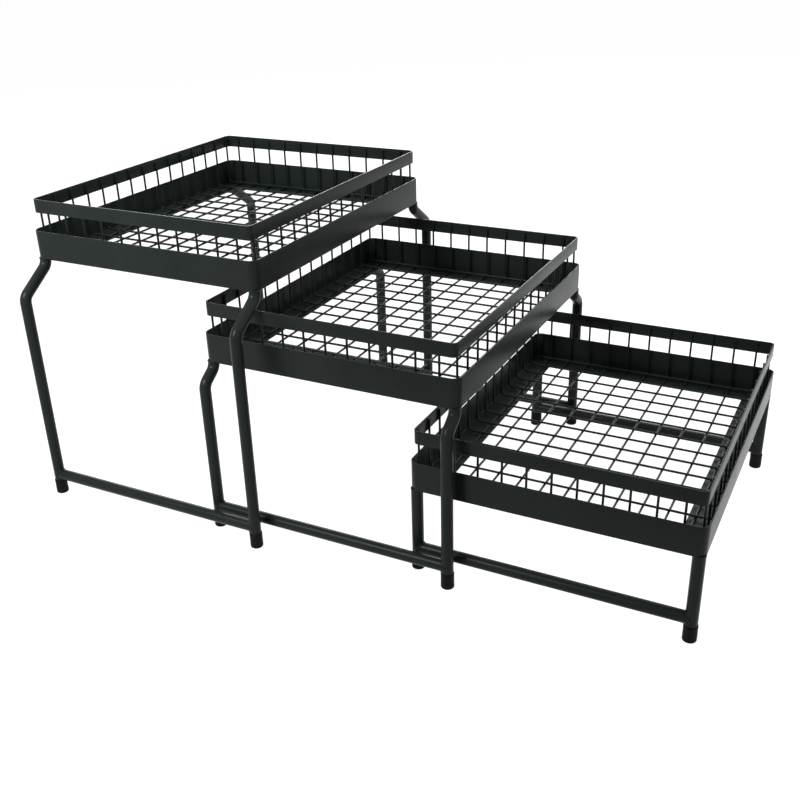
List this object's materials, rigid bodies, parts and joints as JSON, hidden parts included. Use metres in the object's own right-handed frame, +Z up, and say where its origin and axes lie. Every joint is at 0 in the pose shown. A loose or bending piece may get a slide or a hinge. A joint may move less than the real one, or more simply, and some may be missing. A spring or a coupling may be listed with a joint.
{
  "type": "tiered display table",
  "caption": "Nest of stepped wire-basket display tables on cranked tube legs, each smaller table sliding out from under the next.",
  "frame": {"origin": "on the floor, under the middle of the row of tables", "axes": "+X down the row from the tall table to the low one, +Y to the back, +Z up"},
  "size_m": [1.5386, 0.924, 0.711],
  "materials": {
    "frame_paint": "satin black powder coat",
    "wire_paint": "satin black powder coat on wire",
    "foot_rubber": "matt black"
  },
  "bodies": {
    "large_table": {"large_top_rail": "frame_paint", "large_wire_basket": "wire_paint", "large_tray_band": "frame_paint", "large_stretcher_front": "frame_paint", "large_leg_front_left": "frame_paint", "large_foot_front_left": "foot_rubber", "large_leg_front_right": "frame_paint", "large_foot_front_right": "foot_rubber", "large_stretcher_back": "frame_paint", "large_leg_back_left": "frame_paint", "large_foot_back_left": "foot_rubber", "large_leg_back_right": "frame_paint", "large_foot_back_right": "foot_rubber"},
    "medium_table": {"medium_top_rail": "frame_paint", "medium_wire_basket": "wire_paint", "medium_tray_band": "frame_paint", "medium_stretcher_front": "frame_paint", "medium_leg_front_left": "frame_paint", "medium_foot_front_left": "foot_rubber", "medium_leg_front_right": "frame_paint", "medium_foot_front_right": "foot_rubber", "medium_stretcher_back": "frame_paint", "medium_leg_back_left": "frame_paint", "medium_foot_back_left": "foot_rubber", "medium_leg_back_right": "frame_paint", "medium_foot_back_right": "foot_rubber"},
    "small_table": {"small_top_rail": "frame_paint", "small_wire_basket": "wire_paint", "small_tray_band": "frame_paint", "small_stretcher_front": "frame_paint", "small_leg_front_left": "frame_paint", "small_foot_front_left": "foot_rubber", "small_leg_front_right": "frame_paint", "small_foot_front_right": "foot_rubber", "small_stretcher_back": "frame_paint", "small_leg_back_left": "frame_paint", "small_foot_back_left": "foot_rubber", "small_leg_back_right": "frame_paint", "small_foot_back_right": "foot_rubber"}
  },
  "joints": [
    {"name": "medium_slide", "type": "slide", "parent": "large_table", "child": "medium_table", "axis": [1, 0, 0], "range_m": [-0.448, 0.16]},
    {"name": "small_slide", "type": "slide", "parent": "medium_table", "child": "small_table", "axis": [1, 0, 0], "range_m": [-0.488, 0.12]}
  ]
}
